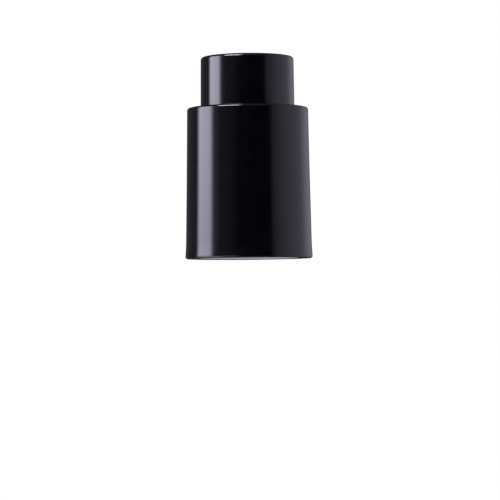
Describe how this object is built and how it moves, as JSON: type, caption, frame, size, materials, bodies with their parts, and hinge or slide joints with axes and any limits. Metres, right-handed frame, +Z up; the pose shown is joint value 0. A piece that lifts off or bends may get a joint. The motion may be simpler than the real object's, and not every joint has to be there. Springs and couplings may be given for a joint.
{
  "type": "press-button vacuum wine stopper",
  "caption": "Two-tier black bottle stopper: a press button on a tapered shell works a small pump that draws air from the bottle through a soft plug.",
  "frame": {"origin": "centre of the shell's rim, on the plane that it stands on", "axes": "+Z up along the common axis, from the rim to the button; one screw lies on +X"},
  "size_m": [0.0464, 0.0464, 0.0736],
  "materials": {
    "gloss_black": "glossy black moulded plastic",
    "light_liner": "pale satin moulded plastic",
    "pump_plastic": "natural satin moulded plastic",
    "dark_silicone": "soft matt silicone",
    "spring_steel": "bright drawn steel"
  },
  "bodies": {
    "stopper": {"outer_shell": "gloss_black", "inner_sleeve": "light_liner", "bottle_plug": "dark_silicone", "pump_cylinder": "pump_plastic", "cylinder_cap": "pump_plastic", "inlet_valve": "dark_silicone", "button_bumper": "dark_silicone", "return_spring": "spring_steel", "cylinder_screws": "spring_steel"},
    "plunger": {"press_button": "gloss_black", "piston_rod": "pump_plastic", "piston_seal": "dark_silicone", "outlet_valve": "dark_silicone"}
  },
  "joints": [
    {"name": "button_press", "type": "slide", "parent": "stopper", "child": "plunger", "axis": [0, 0, -1], "range_m": [0, 0.014], "stiffness_N_per_m": 600, "springref_m": -0.013, "deforming": ["return_spring"]}
  ]
}
